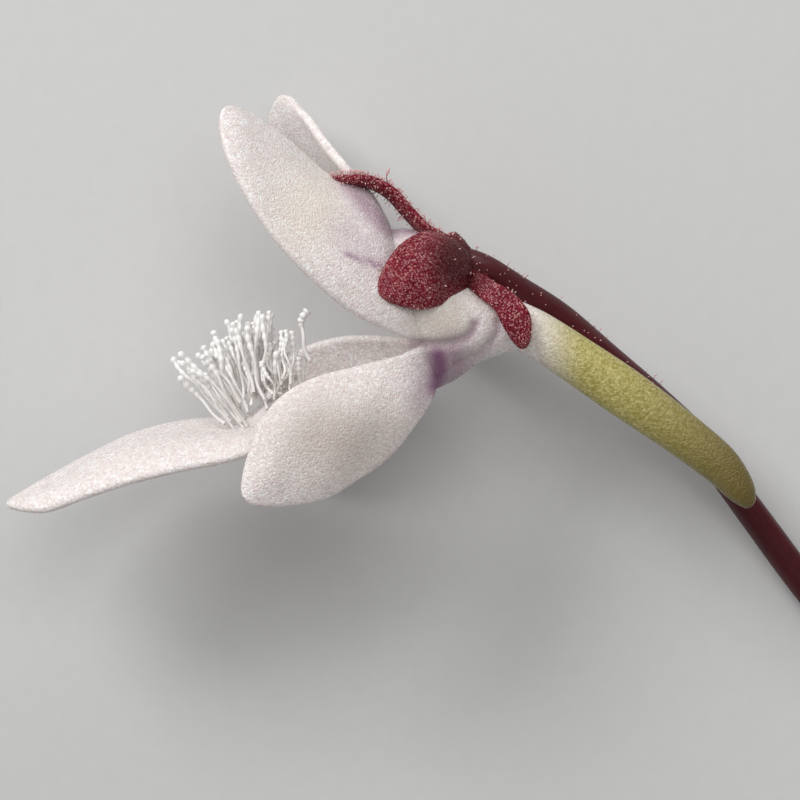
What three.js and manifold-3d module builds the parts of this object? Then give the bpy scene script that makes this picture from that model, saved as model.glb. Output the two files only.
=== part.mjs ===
// Butterwort flower (Pinguicula), picked with a short length of stalk and lying on its right side.
// Millimetres. The flower frame used while modelling has its origin at the middle of the calyx:
//   +X from the throat back towards the spur and the stalk
//   +Y towards the flower's upper side, where the two upper petals stand
//   +Z towards the flower's left side, which faces up as the flower lies
// At the end the whole flower is shifted so that the origin is under its middle, on the surface.
import * as THREE from "three";
import { mergeVertices } from "three/addons/utils/BufferGeometryUtils.js";
import Module from "manifold-3d";

const wasm = await Module();
wasm.setup();

// Driving dimensions.
const tubeWall = 0.26; // wall of the corolla tube and the spur
const petalThickness = 0.28;
const sepalThickness = 0.26;
const stalkRadius = 0.38;
const clearance = 0.05; // left between neighbouring pieces
const weldDistance = 1e-3;
const sliver = 4e-3; // edges shorter than this, left by cuts, are closed up

// The corolla tube from the tip of the spur to the rim of the throat. Each station is an ellipse:
// its centre, its half axis towards the upper side (x, y) and its half width towards the left side.
const tubeStations = [
  { centre: [7.4, -6.12, 0.3], half: [0.02, 0.015], wide: 0.02 },
  { centre: [7.36, -6.03, 0.3], half: [0.15, 0.11], wide: 0.2 },
  { centre: [7.13, -5.68, 0.3], half: [0.29, 0.24], wide: 0.38 },
  { centre: [6.6, -5.05, 0.29], half: [0.33, 0.38], wide: 0.5 },
  { centre: [5.53, -4.2, 0.26], half: [0.34, 0.45], wide: 0.56 },
  { centre: [4.25, -3.28, 0.22], half: [0.35, 0.51], wide: 0.61 },
  { centre: [3.05, -2.46, 0.16], half: [0.345, 0.49], wide: 0.6 },
  { centre: [2.13, -1.86, 0.1], half: [0.29, 0.51], wide: 0.6 },
  { centre: [1.6, -1.63, 0.06], half: [0.12, 0.62], wide: 0.66 },
  { centre: [1.1, -1.55, 0.03], half: [-0.06, 0.76], wide: 0.8 },
  { centre: [0.62, -1.5, 0], half: [-0.18, 0.94], wide: 1.02 },
  { centre: [0.2, -1.42, 0], half: [-0.26, 1.2], wide: 1.27 },
  { centre: [-0.12, -1.27, 0], half: [-0.29, 1.57], wide: 1.48 },
  { centre: [-0.4, -1.14, 0], half: [-0.36, 1.84], wide: 1.62 },
  { centre: [-0.72, -1.11, 0], half: [-0.49, 1.95], wide: 1.7 },
  { centre: [-1.03, -1.17, 0], half: [-0.64, 1.97], wide: 1.75 },
];

// Places round the rim where two petals part, in degrees from the flower's left towards its upper side.
const sinus = { upper: 50, left: -27, lowerLeft: -62, lowerRight: -118, right: -153, back: -310 };

// A petal is a sheet between two edges. Each row gives the first edge, the second edge and how far
// the sheet bows between them, outwards or as a way of its own. Past tip, a share of the length, the end
// rounds off. A high roll keeps the bow full until it rolls over near the margins.
const petals = {
  petal_upper_left: {
    rim: [sinus.upper, sinus.left],
    tip: 0.78,
    roll: 2,
    rows: [
      [[-1.8, 1.05, 0.0], [-1.4, -1.85, 1.85], 0.55],
      [[-2.3, 1.8, 0.05], [-2.55, -1.32, 2.55], 0.52],
      [[-3.15, 2.12, 0.65], [-3.6, -0.45, 3.05], 0.36],
      [[-3.87, 2.65, 0.95], [-4.45, 0.45, 3.3], 0.3],
      [[-4.55, 3.2, 1.3], [-5.2, 1.55, 3.3], 0.26],
      [[-5.2, 3.72, 1.65], [-5.75, 2.65, 3.05], 0.2],
      [[-5.52, 3.98, 2.0], [-6.08, 3.45, 2.75], 0.06],
    ],
  },
  petal_lower_left: {
    rim: [sinus.left, sinus.lowerLeft],
    tip: 0.68,
    roll: 2,
    rows: [
      [[-1.38, -2.33, 1.66], [-0.6, -3.42, 1.1], 0.1],
      [[-2.33, -2.6, 2.05], [-1.08, -4.15, 1.6], 0.28],
      [[-3.25, -2.83, 2.5], [-1.78, -4.95, 2.1], 0.42],
      [[-4.12, -3.25, 2.8], [-2.7, -5.58, 2.5], 0.45],
      [[-4.95, -3.95, 2.95], [-3.6, -6.12, 2.75], 0.4],
      [[-5.72, -5.15, 3.05], [-4.75, -6.6, 2.95], 0.2],
    ],
  },
  petal_lower_middle: {
    rim: [sinus.lowerLeft, sinus.lowerRight],
    tip: 0.88,
    roll: 4,
    rows: [
      [[-1.7, -3.43, 1.15], [-1.7, -3.2, -1.15], 0.25],
      [[-3.1, -3.98, 1.45], [-3.1, -3.43, -1.5], 0.05],
      [[-4.4, -4.58, 1.6], [-4.4, -3.88, -1.85], -0.25],
      [[-5.6, -4.98, 1.65], [-5.6, -4.18, -2.0], -0.42],
      [[-6.8, -5.21, 1.6], [-6.8, -4.3, -2.0], -0.46],
      [[-8.0, -5.5, 1.5], [-8.0, -4.56, -1.85], -0.44],
      [[-9.1, -5.87, 1.3], [-9.1, -5.06, -1.6], -0.38],
      [[-10.1, -6.24, 1.0], [-10.1, -5.6, -1.2], -0.3],
      [[-11.15, -6.38, 0.6], [-11.1, -6.08, -0.75], -0.16],
    ],
  },
  petal_lower_right: {
    rim: [sinus.lowerRight, sinus.right],
    tip: 0.7,
    roll: 2,
    rows: [
      [[-0.55, -3.2, -1.35], [-1.2, -1.9, -1.85], 0.15],
      [[-1.2, -3.85, -2.05], [-2.2, -1.83, -2.4], 0.25],
      [[-2.0, -4.5, -2.65], [-3.1, -1.9, -2.9], 0.35],
      [[-2.9, -5.05, -3.15], [-3.95, -2.2, -3.3], 0.38],
      [[-3.8, -5.35, -3.45], [-4.65, -2.9, -3.55], 0.34],
      [[-4.6, -5.6, -3.5], [-5.5, -4.0, -3.6], 0.12],
    ],
  },
  petal_upper_right: {
    rim: [sinus.right, sinus.back],
    tip: 0.78,
    roll: 2,
    rows: [
      [[-1.35, -0.95, -2.2], [-1.8, 1.05, 0.0], [-0.2, 0.6, -0.35]],
      [[-1.95, 0.0, -2.85], [-2.3, 1.8, -0.05], [-0.1, 0.4, -0.3]],
      [[-2.65, 0.9, -3.2], [-2.82, 2.42, -0.25], [0.0, 0.22, -0.22]],
      [[-3.35, 1.75, -3.42], [-3.22, 2.95, -0.7], [0.04, 0.1, -0.15]],
      [[-4.05, 2.55, -3.45], [-3.56, 3.42, -1.2], [0.04, 0.08, -0.1]],
      [[-4.65, 3.3, -3.35], [-3.85, 3.9, -1.7], [0.0, 0.06, -0.05]],
      [[-4.85, 4.0, -3.05], [-3.9, 4.42, -2.2], [0.0, 0.03, 0.0]],
    ],
  },
};

// A sepal is the same kind of sheet, rooted in the calyx cup instead of on the rim.
const sepals = {
  sepal_upper_middle: {
    tip: 0.72,
    rows: [
      [[0.15, 0.4, 0.45], [0.15, 0.4, -0.45], 0.1],
      [[-0.25, 0.66, 0.55], [-0.25, 0.66, -0.52], 0.16],
      [[-0.65, 0.88, 0.6], [-0.65, 0.88, -0.5], 0.16],
      [[-1.1, 1.34, 0.65], [-1.1, 1.34, -0.42], 0.16],
      [[-1.52, 1.8, 0.7], [-1.52, 1.8, -0.33], 0.16],
      [[-2.05, 2.08, 0.78], [-2.05, 2.08, -0.15], 0.14],
      [[-2.6, 2.13, 0.86], [-2.6, 2.13, 0.18], 0.1],
      [[-3.14, 2.1, 0.98], [-3.14, 2.1, 0.6], 0.04],
    ],
  },
  sepal_upper_left: {
    tip: 0.66,
    rows: [
      [[0.25, 0.1, 0.0], [0.4, -0.3, 0.0], 0.1],
      [[-0.15, 0.55, 0.4], [0.28, -0.64, 0.5], 0.2],
      [[-0.72, 0.72, 1.05], [-0.18, -1.0, 1.25], 0.26],
      [[-1.2, 0.52, 1.6], [-0.6, -1.15, 1.85], 0.26],
      [[-1.66, 0.12, 2.0], [-1.1, -1.24, 2.15], 0.2],
      [[-2.14, -0.4, 2.15], [-1.68, -1.28, 2.3], 0.08],
    ],
  },
  sepal_lower_left: {
    tip: 0.66,
    rows: [
      [[0.3, -0.1, 0.4], [0.15, -0.5, 0.4], 0.04],
      [[0.95, -0.5, 0.85], [0.75, -0.98, 1.0], 0.06],
      [[1.42, -0.78, 0.95], [1.02, -1.2, 1.2], 0.08],
      [[1.86, -1.3, 0.95], [1.2, -1.6, 1.22], 0.08],
      [[2.05, -2.0, 0.85], [1.47, -2.33, 1.05], 0.04],
    ],
  },
};

// The stalk, from the calyx down behind the spur to the cut end, which rests on the surface.
const stalkLine = [
  [0.42, -0.17, 0], [0.88, -0.3, -0.1], [1.6, -0.73, -0.36], [2.6, -1.38, -0.85], [3.75, -2.33, -1.35],
  [5.0, -3.4, -1.85], [6.25, -4.6, -2.4], [7.35, -6.05, -2.95], [8.5, -7.6, -3.37], [9.55, -8.98, -3.6],
];

// Shapes.
const vec = (p) => new THREE.Vector3(...p);
const line = (points) => new THREE.CatmullRomCurve3(points.map(vec), false, "catmullrom", 0.5);
const radians = (degrees) => (degrees * Math.PI) / 180;
const steps = (count) => Array.from({ length: count + 1 }, (_, i) => i / count);

// A closed geometry from triangles of points, with shared vertices merged and collapsed faces dropped.
function closedGeometry(triangles) {
  const raw = new THREE.BufferGeometry().setFromPoints(triangles.flat());
  const merged = mergeVertices(raw, weldDistance);
  const faces = [];
  for (let i = 0; i < merged.index.count; i += 3) {
    const [a, b, c] = [0, 1, 2].map((k) => merged.index.getX(i + k));
    if (a !== b && b !== c && c !== a) faces.push(a, b, c);
  }
  merged.setIndex(faces);
  merged.computeVertexNormals();
  return merged;
}

// Triangles between two loops or lines of points.
function strip(lower, upper, closed) {
  const found = [];
  const count = closed ? lower.length : lower.length - 1;
  for (let i = 0; i < count; i++) {
    const j = (i + 1) % lower.length;
    found.push([lower[i], lower[j], upper[j]], [lower[i], upper[j], upper[i]]);
  }
  return found;
}

// A closed skin over rings of points, with a fan over each end.
function skin(rings) {
  const middle = (ring) => ring.reduce((sum, p) => sum.add(p), new THREE.Vector3()).divideScalar(ring.length);
  const first = rings[0];
  const last = rings[rings.length - 1];
  const start = middle(first);
  const end = middle(last);
  const found = rings.slice(1).flatMap((ring, i) => strip(rings[i], ring, true));
  first.forEach((p, i) => found.push([start, first[(i + 1) % first.length], p]));
  last.forEach((p, i) => found.push([end, p, last[(i + 1) % last.length]]));
  return closedGeometry(found);
}

// A sheet of a thickness over a surface (t, s), with its outside along the surface's own outward side.
function sheet(surface, thickness, rows, columns) {
  const outside = [];
  const inside = [];
  for (const t of rows) {
    const across = steps(columns).map((c) => surface(t, 2 * c - 1));
    outside.push(across.map(({ point, normal }) => point.clone().addScaledVector(normal, thickness / 2)));
    inside.push(across.map(({ point, normal }) => point.clone().addScaledVector(normal, -thickness / 2)));
  }
  const found = [];
  for (let i = 1; i < rows.length; i++) {
    found.push(...strip(outside[i], outside[i - 1], false), ...strip(inside[i - 1], inside[i], false));
  }
  const edge = (k) => [outside.map((row) => row[k]), inside.map((row) => row[k])];
  const [outFirst, inFirst] = edge(0);
  const [outLast, inLast] = edge(columns);
  found.push(...strip(inFirst, outFirst, false), ...strip(outLast, inLast, false));
  const end = rows.length - 1;
  found.push(...strip(outside[0], inside[0], false), ...strip(inside[end], outside[end], false));
  return closedGeometry(found);
}

// A point of the tube's outside, grown by an offset: along is 0 at the spur's tip and 1 at the rim.
const tubeCentre = line(tubeStations.map((s) => s.centre));
const tubeHalf = line(tubeStations.map((s) => [...s.half, s.wide]));
function tubePoint(along, degrees, offset) {
  const half = tubeHalf.getPoint(along);
  const height = Math.hypot(half.x, half.y);
  const up = new THREE.Vector3(half.x, half.y, 0).multiplyScalar(1 + offset / height);
  const angle = radians(degrees);
  return tubeCentre
    .getPoint(along)
    .addScaledVector(up, Math.sin(angle))
    .add(new THREE.Vector3(0, 0, (half.z + offset) * Math.cos(angle)));
}
const tubeRing = (along, offset, count) =>
  steps(count).slice(0, -1).map((k) => tubePoint(along, 360 * k, offset));

// The middle surface of a petal or sepal, t from root to tip and s from edge to edge, with its normal.
// The end rounds off over the last part of its length, as half an ellipse.
const blendLength = 0.3; // the share of a petal over which the shape of the rim fades out
function leafSurface({ rim, rows, tip, roll = 2 }) {
  const rimAt = (s) => tubePoint(1, THREE.MathUtils.mapLinear(s, -1, 1, rim[0], rim[1]), -tubeWall / 2);
  const ownWay = Array.isArray(rows[0][2]); // the rows give the bow as a way instead of a distance outwards
  const flat = ownWay ? [0, 0, 0] : 0;
  const all = rim ? [[rimAt(-1).toArray(), rimAt(1).toArray(), flat], ...rows] : rows;
  const first = line(all.map((row) => row[0]));
  const second = line(all.map((row) => row[1]));
  const bows = line(all.map((row) => (ownWay ? row[2] : [row[2], 0, 0])));
  const sheetAt = (t, s) => {
    const a = first.getPoint(t);
    const b = second.getPoint(t);
    const end = Math.max(0, (t - tip) / (1 - tip));
    const width = Math.sqrt(1 - end * end);
    const halfChord = b.clone().sub(a).multiplyScalar(0.5);
    const middle = a.clone().add(b).multiplyScalar(0.5);
    const step = 1e-3;
    const ahead = Math.min(1, t + step);
    const travel = first.getPoint(ahead).add(second.getPoint(ahead))
      .sub(first.getPoint(ahead - step)).sub(second.getPoint(ahead - step));
    const outward = travel.cross(halfChord.clone()).normalize();
    const bow = ownWay ? bows.getPoint(t) : outward.multiplyScalar(bows.getPoint(t).x);
    return middle
      .addScaledVector(halfChord, s * width)
      .addScaledVector(bow, (1 - Math.abs(s) ** roll) * width);
  };
  const pointAt = (t, s) => {
    const point = sheetAt(t, s);
    if (!rim || t > blendLength) return point;
    const fade = 1 - THREE.MathUtils.smoothstep(t, 0, blendLength);
    return point.addScaledVector(rimAt(s).sub(sheetAt(0, s)), fade);
  };
  return (t, s) => {
    const step = 0.01;
    const at = Math.min(t, 0.97);
    const side = Math.min(Math.max(s, -1 + step), 1 - step);
    const along = pointAt(at + step, side).sub(pointAt(Math.max(0, at - step), side));
    const across = pointAt(at, side + step).sub(pointAt(at, side - step));
    return { point: pointAt(t, s), normal: along.cross(across).normalize() };
  };
}

// Places of the rows of a leaf: even up to where the tip rounds off, then closing in on the end.
const leafRows = (count, tipCount, start, tip) => [
  ...steps(count).map((u) => start + (tip - start) * u),
  ...steps(tipCount).slice(1).map((u) => tip + (1 - tip) * Math.sin((u * Math.PI) / 2)),
];

// A round rod along a line, thick at each place as radius says, with closed ends.
function rod(points, radius, lengthSteps, sides) {
  const path = line(points);
  const frames = path.computeFrenetFrames(lengthSteps, false);
  return skin(steps(lengthSteps).map((t, i) => {
    const centre = path.getPointAt(t);
    return steps(sides).slice(0, -1).map((k) => {
      const angle = 2 * Math.PI * k;
      return centre.clone()
        .addScaledVector(frames.normals[i], radius(t) * Math.cos(angle))
        .addScaledVector(frames.binormals[i], radius(t) * Math.sin(angle));
    });
  }));
}

// Joins and cuts.
function solidOf(geometry) {
  const bare = geometry.clone();
  bare.deleteAttribute("normal");
  bare.deleteAttribute("uv");
  const merged = mergeVertices(bare, weldDistance);
  return new wasm.Manifold(new wasm.Mesh({
    numProp: 3,
    vertProperties: merged.attributes.position.array,
    triVerts: new Uint32Array(merged.index.array),
  }));
}

function geometryOf(solid) {
  const { vertProperties, triVerts } = solid.simplify(sliver).getMesh();
  const geometry = new THREE.BufferGeometry();
  geometry.setAttribute("position", new THREE.BufferAttribute(new Float32Array(vertProperties), 3));
  geometry.setIndex(new THREE.BufferAttribute(new Uint32Array(triVerts), 1));
  geometry.computeVertexNormals();
  return geometry;
}

// The corolla.
const tubeRows = 26;
const tubeSides = 24;
const rimRun = tubeCentre.getTangent(1); // the way the throat opens
// The tube's wall, grown by an offset on every side: with 0 it is the piece itself.
function tubeSolid(offset) {
  const lip = tubeRing(1, offset, tubeSides).map((p) => p.addScaledVector(rimRun, offset));
  const lipInside = tubeRing(1, -tubeWall - offset, tubeSides).map((p) => p.addScaledVector(rimRun, offset));
  const outer = steps(tubeRows).slice(1, -1).map((t) => tubeRing(t, offset, tubeSides));
  const inner = steps(tubeRows).slice(3, -1).map((t) => tubeRing(t, -tubeWall - offset, tubeSides)).reverse();
  return solidOf(skin([...outer, lip, lipInside, ...inner]));
}
// What the tube fills with its hollow, grown by an offset: its neighbours are cut back from this.
const tubeEnvelope = (offset) => solidOf(skin(steps(tubeRows).slice(1).map((t) => tubeRing(t, offset, tubeSides))));

const without = (solid, others) => others.reduce((left, other) => left.subtract(other), solid);
const largest = (solid) => solid.decompose().sort((a, b) => b.volume() - a.volume())[0];

// A petal, grown by an offset: with 0 it is the piece before its neighbours are cut away.
const edgeGap = 1.5; // degrees of the rim left free at each side of a petal
const rimGap = 0.004; // share of a petal's length left free at the rim
function petalSolid(petal, offset) {
  const inset = { ...petal, rim: [petal.rim[0] - edgeGap, petal.rim[1] + edgeGap] };
  const rows = leafRows(10, 4, rimGap, petal.tip);
  return solidOf(sheet(leafSurface(inset), petalThickness + 2 * offset, rows, 10));
}

// Calyx and stalk.
const calyxAxis = vec([-0.9, 0.43, 0]).normalize(); // from the stalk towards the throat
const turnFromY = new THREE.Quaternion().setFromUnitVectors(vec([0, 1, 0]), calyxAxis);
// From the stalk's side to the throat's side: radius and place along the axis.
const cupProfile = [
  [0, -0.95], [0.3, -0.94], [0.39, -0.78], [0.41, -0.5], [0.48, -0.25], [0.58, -0.04], [0.65, 0.14], [0.67, 0.32],
  [0.6, 0.46], [0.4, 0.56], [0, 0.62],
];
function cupSolid(offset) {
  const profile = cupProfile.map(([r, h]) => new THREE.Vector2(r && r + offset, h + Math.sign(h) * offset));
  return solidOf(new THREE.LatheGeometry(profile, 28).applyQuaternion(turnFromY));
}

const mirrored = ({ tip, rows }) =>
  ({ tip, rows: rows.map(([a, b, bow]) => [[b[0], b[1], -b[2]], [a[0], a[1], -a[2]], bow]) });
const allSepals = {
  ...sepals,
  sepal_upper_right: mirrored(sepals.sepal_upper_left),
  sepal_lower_right: mirrored(sepals.sepal_lower_left),
};

// Inside the flower.
// The ovary sits on the receptacle, whose neck passes through the back of the tube.
const ovaryCentre = vec([-0.78, -0.78, 0]);
const ovaryRadius = 0.4;
const neckFoot = vec([-0.12, -0.02, 0]);
const neckRadius = 0.14;
const ball = (centre, radius, [x, y, z] = [1, 1, 1]) =>
  solidOf(new THREE.SphereGeometry(radius, 16, 12).scale(x, y, z).translate(...centre.toArray()));
const neckSolid = (offset) =>
  solidOf(rod([neckFoot.toArray(), ovaryCentre.toArray()], () => neckRadius + offset, 2, 12));
function pistil() {
  const stigma = ball(vec([-1.22, -0.98, 0]), 0.3, [0.9, 0.55, 1.3]); // its wide lower lobe, folded over the anthers
  const style = solidOf(rod([[-0.8, -0.8, 0], [-1.2, -0.95, 0]], () => 0.16, 2, 12));
  return neckSolid(0).add(ball(ovaryCentre, ovaryRadius)).add(style).add(stigma);
}
// A stamen: a bowed filament from the floor of the tube, and the anther it holds under the stigma.
function stamen(side, tube) {
  const filament = rod(
    [[0.1, -1.2, 0.72 * side], [-0.45, -1.5, 0.45 * side], [-0.95, -1.55, 0.28 * side], [-1.22, -1.32, 0.2 * side]],
    () => 0.09, 8, 8);
  const whole = solidOf(filament).add(ball(vec([-1.26, -1.34, 0.22 * side]), 0.15, [1, 0.8, 1]));
  return largest(without(whole, [tube]));
}
// The palate: a cushion on the lower lip, set with hairs that lean out of the throat.
const palateCentre = [-4.15, -4.0, 0.1];
const palateHalf = [1.1, 0.62, 1.15];
const hairRows = [[-0.85, 5], [-0.45, 6], [0, 6], [0.45, 5]]; // place along the cushion, hairs across it
const hairLength = 1.05;
const hairRadius = 0.055;
function palate(lip) {
  let cushion = ball(vec(palateCentre), 1, palateHalf);
  for (const [along, count] of hairRows) {
    for (let k = 0; k < count; k++) {
      const across = THREE.MathUtils.mapLinear(k, 0, count - 1, -0.75, 0.75) * (1 - 0.3 * Math.abs(along));
      const rise = Math.sqrt(Math.max(0.05, 1 - along ** 2 - across ** 2));
      const foot = vec([along, rise, across]).multiply(vec(palateHalf)).multiplyScalar(0.95).add(vec(palateCentre));
      const lean = vec([along - 0.55, 1.1, 0.55 * across]).normalize();
      const length = hairLength * (1 + 0.18 * Math.sin(7 * k + 5 * along));
      const bent = foot.clone().addScaledVector(lean, 0.6 * length).add(vec([0.05, 0, 0]));
      const head = foot.clone().addScaledVector(lean, length);
      const hair = rod([foot, bent, head].map((p) => p.toArray()), (t) => hairRadius * (0.85 + 0.5 * t ** 3), 4, 6);
      cushion = cushion.add(solidOf(hair));
    }
  }
  return largest(without(cushion, [lip]));
}

const group = new THREE.Group();
const finishes = {
  petal: { color: 0xe9e4e2, roughness: 0.45, metalness: 0 },
  spur: { color: 0xb9b878, roughness: 0.4, metalness: 0 },
  calyx: { color: 0x7c2537, roughness: 0.5, metalness: 0 },
  stalk: { color: 0x4a1417, roughness: 0.45, metalness: 0 },
  hair: { color: 0xf2f0ec, roughness: 0.3, metalness: 0 },
  anther: { color: 0xd8cf94, roughness: 0.5, metalness: 0 },
  pistil: { color: 0x9fb06a, roughness: 0.45, metalness: 0 },
};
function add(name, solid, finish) {
  const mesh = new THREE.Mesh(geometryOf(solid), new THREE.MeshStandardMaterial(finishes[finish]));
  mesh.name = name;
  group.add(mesh);
}

const tubeGrown = tubeSolid(clearance);
const envelope = tubeEnvelope(clearance);
const cupGrown = cupSolid(clearance);

add("corolla_tube", without(tubeSolid(0), [neckSolid(clearance)]), "spur");
const earlier = [tubeGrown];
for (const [name, shape] of Object.entries(petals)) {
  add(name, largest(without(petalSolid(shape, 0), earlier)), "petal");
  earlier.push(petalSolid(shape, clearance));
}
add("palate_hairs", palate(petalSolid(petals.petal_lower_middle, clearance)), "hair");
for (const [name, side] of [["stamen_left", 1], ["stamen_right", -1]]) add(name, stamen(side, tubeGrown), "anther");
add("pistil", pistil(), "pistil");
add("calyx_cup", largest(without(cupSolid(0), [envelope, neckSolid(clearance)])), "calyx");
const sepalCuts = [cupGrown, envelope];
for (const [name, sepal] of Object.entries(allSepals)) {
  const rows = leafRows(7, 4, 0, sepal.tip);
  const whole = (offset) => solidOf(sheet(leafSurface(sepal), sepalThickness + 2 * offset, rows, 7));
  add(name, largest(without(whole(0), [...sepalCuts, ...earlier])), "calyx");
  sepalCuts.push(whole(clearance));
}
const stalk = solidOf(rod(stalkLine, () => stalkRadius, 34, 14));
add("flower_stalk", largest(without(stalk, sepalCuts)), "stalk");

// The flower lies on its right side: the origin goes under its middle, on the surface.
const box = new THREE.Box3().setFromObject(group);
const middle = box.getCenter(new THREE.Vector3());
for (const mesh of group.children) mesh.geometry.translate(-middle.x, -middle.y, -box.min.z);

export default group;
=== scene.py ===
import math

import bmesh
import bpy
import numpy as np
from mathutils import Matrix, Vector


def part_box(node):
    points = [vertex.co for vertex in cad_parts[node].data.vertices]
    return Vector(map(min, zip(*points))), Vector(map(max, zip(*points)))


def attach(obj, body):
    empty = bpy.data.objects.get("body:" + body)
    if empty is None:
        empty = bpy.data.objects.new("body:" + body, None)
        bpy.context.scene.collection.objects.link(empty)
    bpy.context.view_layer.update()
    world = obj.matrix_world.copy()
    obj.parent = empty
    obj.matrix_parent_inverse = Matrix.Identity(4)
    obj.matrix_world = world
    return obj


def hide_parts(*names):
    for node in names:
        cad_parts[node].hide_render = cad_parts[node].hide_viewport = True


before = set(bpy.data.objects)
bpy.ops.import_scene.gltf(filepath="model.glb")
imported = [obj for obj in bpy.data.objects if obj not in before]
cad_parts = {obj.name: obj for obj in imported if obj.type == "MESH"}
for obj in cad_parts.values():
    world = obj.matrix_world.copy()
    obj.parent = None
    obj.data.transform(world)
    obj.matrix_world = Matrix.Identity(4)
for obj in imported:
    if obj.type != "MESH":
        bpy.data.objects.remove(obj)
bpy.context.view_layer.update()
mm = 0.001

# Every shape below is worked out in the flower's own millimetres: x from the throat back to the spur,
# y to the flower's upper side, z to its left side, which faces up as it lies. The pistil gives the place.
pistilLow, pistilHigh = (np.array(corner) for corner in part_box("pistil"))
flowerOrigin = np.array([pistilLow[0] + 1.49 * mm, pistilLow[1] + 1.18 * mm, (pistilLow[2] + pistilHigh[2]) / 2])
random = np.random.default_rng(7)


# ---- curves and grids

def splineAt(points, t):
    # A smooth curve through the points: between two of them a cubic, whose slope at each point is half
    # the step between its neighbours. t runs from 0 to 1 over the whole curve.
    points = np.asarray(points, float)
    ends = np.concatenate([[2 * points[0] - points[1]], points, [2 * points[-1] - points[-2]]])
    place = np.clip(t, 0, 1) * (len(points) - 1)
    start = np.minimum(place.astype(int), len(points) - 2)
    u = (place - start).reshape(-1, *[1] * (points.ndim - 1))
    a, b, c, d = (ends[start + k] for k in range(4))
    return b + 0.5 * u * (c - a) + u ** 2 * (a - 2.5 * b + 2 * c - 0.5 * d) + u ** 3 * 0.5 * (3 * b - a - 3 * c + d)


def smooth(low, high, x):
    # 0 below low, 1 above high, and an S curve between them.
    u = np.clip((x - low) / (high - low), 0, 1)
    return u * u * (3 - 2 * u)


def unit(vectors):
    return vectors / np.maximum(np.linalg.norm(vectors, axis=-1, keepdims=True), 1e-12)


def gridNormals(points):
    # The cross product of the steps along the rows and along the columns.
    return unit(np.cross(np.gradient(points, axis=0), np.gradient(points, axis=1)))


def distanceTo(points, outline):
    # Distance in x and y from every point to a line of straight stretches, the nearest stretch counting.
    flat = points[..., None, :2]
    outline = np.asarray(outline, float)
    start, step = outline[:-1], np.diff(outline, axis=0)
    share = np.clip(((flat - start) * step).sum(-1) / (step ** 2).sum(-1), 0, 1)
    return np.linalg.norm(flat - start - share[..., None] * step, axis=-1).min(-1)


def gridFaces(rows, columns, closed=False):
    # The quads between neighbouring rows and columns. A closed grid joins its last column to its first.
    row, column = np.meshgrid(np.arange(rows - 1), np.arange(columns - (not closed)), indexing="ij")
    beside = (column + 1) % columns
    corners = [row * columns + column, row * columns + beside,
               (row + 1) * columns + beside, (row + 1) * columns + column]
    return np.stack(corners, -1).reshape(-1, 4)


def addPiece(name, grids, material, marks=None, closed=True, weld=1e-3):
    # Joins grids of points into one mesh object. Points closer than weld, in millimetres, become one.
    # marks holds values per point, which the material reads by name. closed is one answer for all grids
    # or one for each.
    points = np.concatenate([grid.reshape(-1, 3) for grid in grids])
    closed = closed if isinstance(closed, list) else [closed] * len(grids)
    faces, first = [], 0
    for grid, joined in zip(grids, closed):
        faces.append(gridFaces(grid.shape[0], grid.shape[1], joined) + first)
        first += grid.shape[0] * grid.shape[1]
    mesh = bpy.data.meshes.new(name)
    mesh.from_pydata((points * mm + flowerOrigin).tolist(), [], np.concatenate(faces).tolist())
    for mark, values in (marks or {}).items():
        stored = mesh.attributes.new(mark, "FLOAT", "POINT")
        stored.data.foreach_set("value", np.concatenate([v.ravel() for v in values]).astype(np.float32))
    built = bmesh.new()
    built.from_mesh(mesh)
    bmesh.ops.remove_doubles(built, verts=built.verts, dist=weld * mm)
    bmesh.ops.dissolve_degenerate(built, edges=built.edges, dist=1e-9)
    bmesh.ops.recalc_face_normals(built, faces=built.faces)
    built.to_mesh(mesh)
    built.free()
    mesh.polygons.foreach_set("use_smooth", np.ones(len(mesh.polygons), bool))
    mesh.materials.append(material)
    piece = bpy.data.objects.new(name, mesh)
    bpy.context.collection.objects.link(piece)
    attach(piece, "root")
    return piece


# ---- materials

def colour(value):
    # An sRGB hex colour as linear red, green, blue and alpha.
    parts = [int(value[k:k + 2], 16) / 255 for k in (1, 3, 5)]
    return tuple(p / 12.92 if p <= 0.04045 else ((p + 0.055) / 1.055) ** 2.4 for p in parts) + (1.0,)


def addNode(tree, kind, settings=None, links=None):
    node = tree.nodes.new(kind)
    for key, value in (settings or {}).items():
        if isinstance(key, int) or key in node.inputs:
            node.inputs[key].default_value = value
        else:
            setattr(node, key, value)
    for key, source in (links or {}).items():
        tree.links.new(source, node.inputs[key])
    return node


def newMaterial(name):
    material = bpy.data.materials.new(name)
    material.use_nodes = True
    tree = material.node_tree
    tree.nodes.clear()
    place = addNode(tree, "ShaderNodeTexCoord")
    return material, tree, place.outputs["Object"]


def finishMaterial(tree, settings, links):
    shader = addNode(tree, "ShaderNodeBsdfPrincipled", settings, links)
    addNode(tree, "ShaderNodeOutputMaterial", links={"Surface": shader.outputs[0]})


def mixColour(tree, share, first, second):
    # first and second are a hex colour or the output of a node.
    node = addNode(tree, "ShaderNodeMix", {"data_type": "RGBA"}, {0: share})
    for key, value in ((6, first), (7, second)):
        if isinstance(value, str):
            node.inputs[key].default_value = colour(value)
        else:
            tree.links.new(value, node.inputs[key])
    return node.outputs[2]


def perMetre(sizeMm):
    # The scale of a pattern whose features are this many millimetres apart.
    return 1 / (sizeMm * mm)


petalLook = {
    "white": "#efe6e3", "shade": "#ece0dd", "violetTintAndShade": "#87507a", "creamTintAndHighlight": "#f3e9d6",
    "paintedLowerLobeShade": "#c3b6ad", "paintedCellShade": "#aca19d",
    "spurDark": "#9c9248", "spurLight": "#c6bc7e", "spurTip": "#6c5d2e", "cell": 0.058,
}


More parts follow.
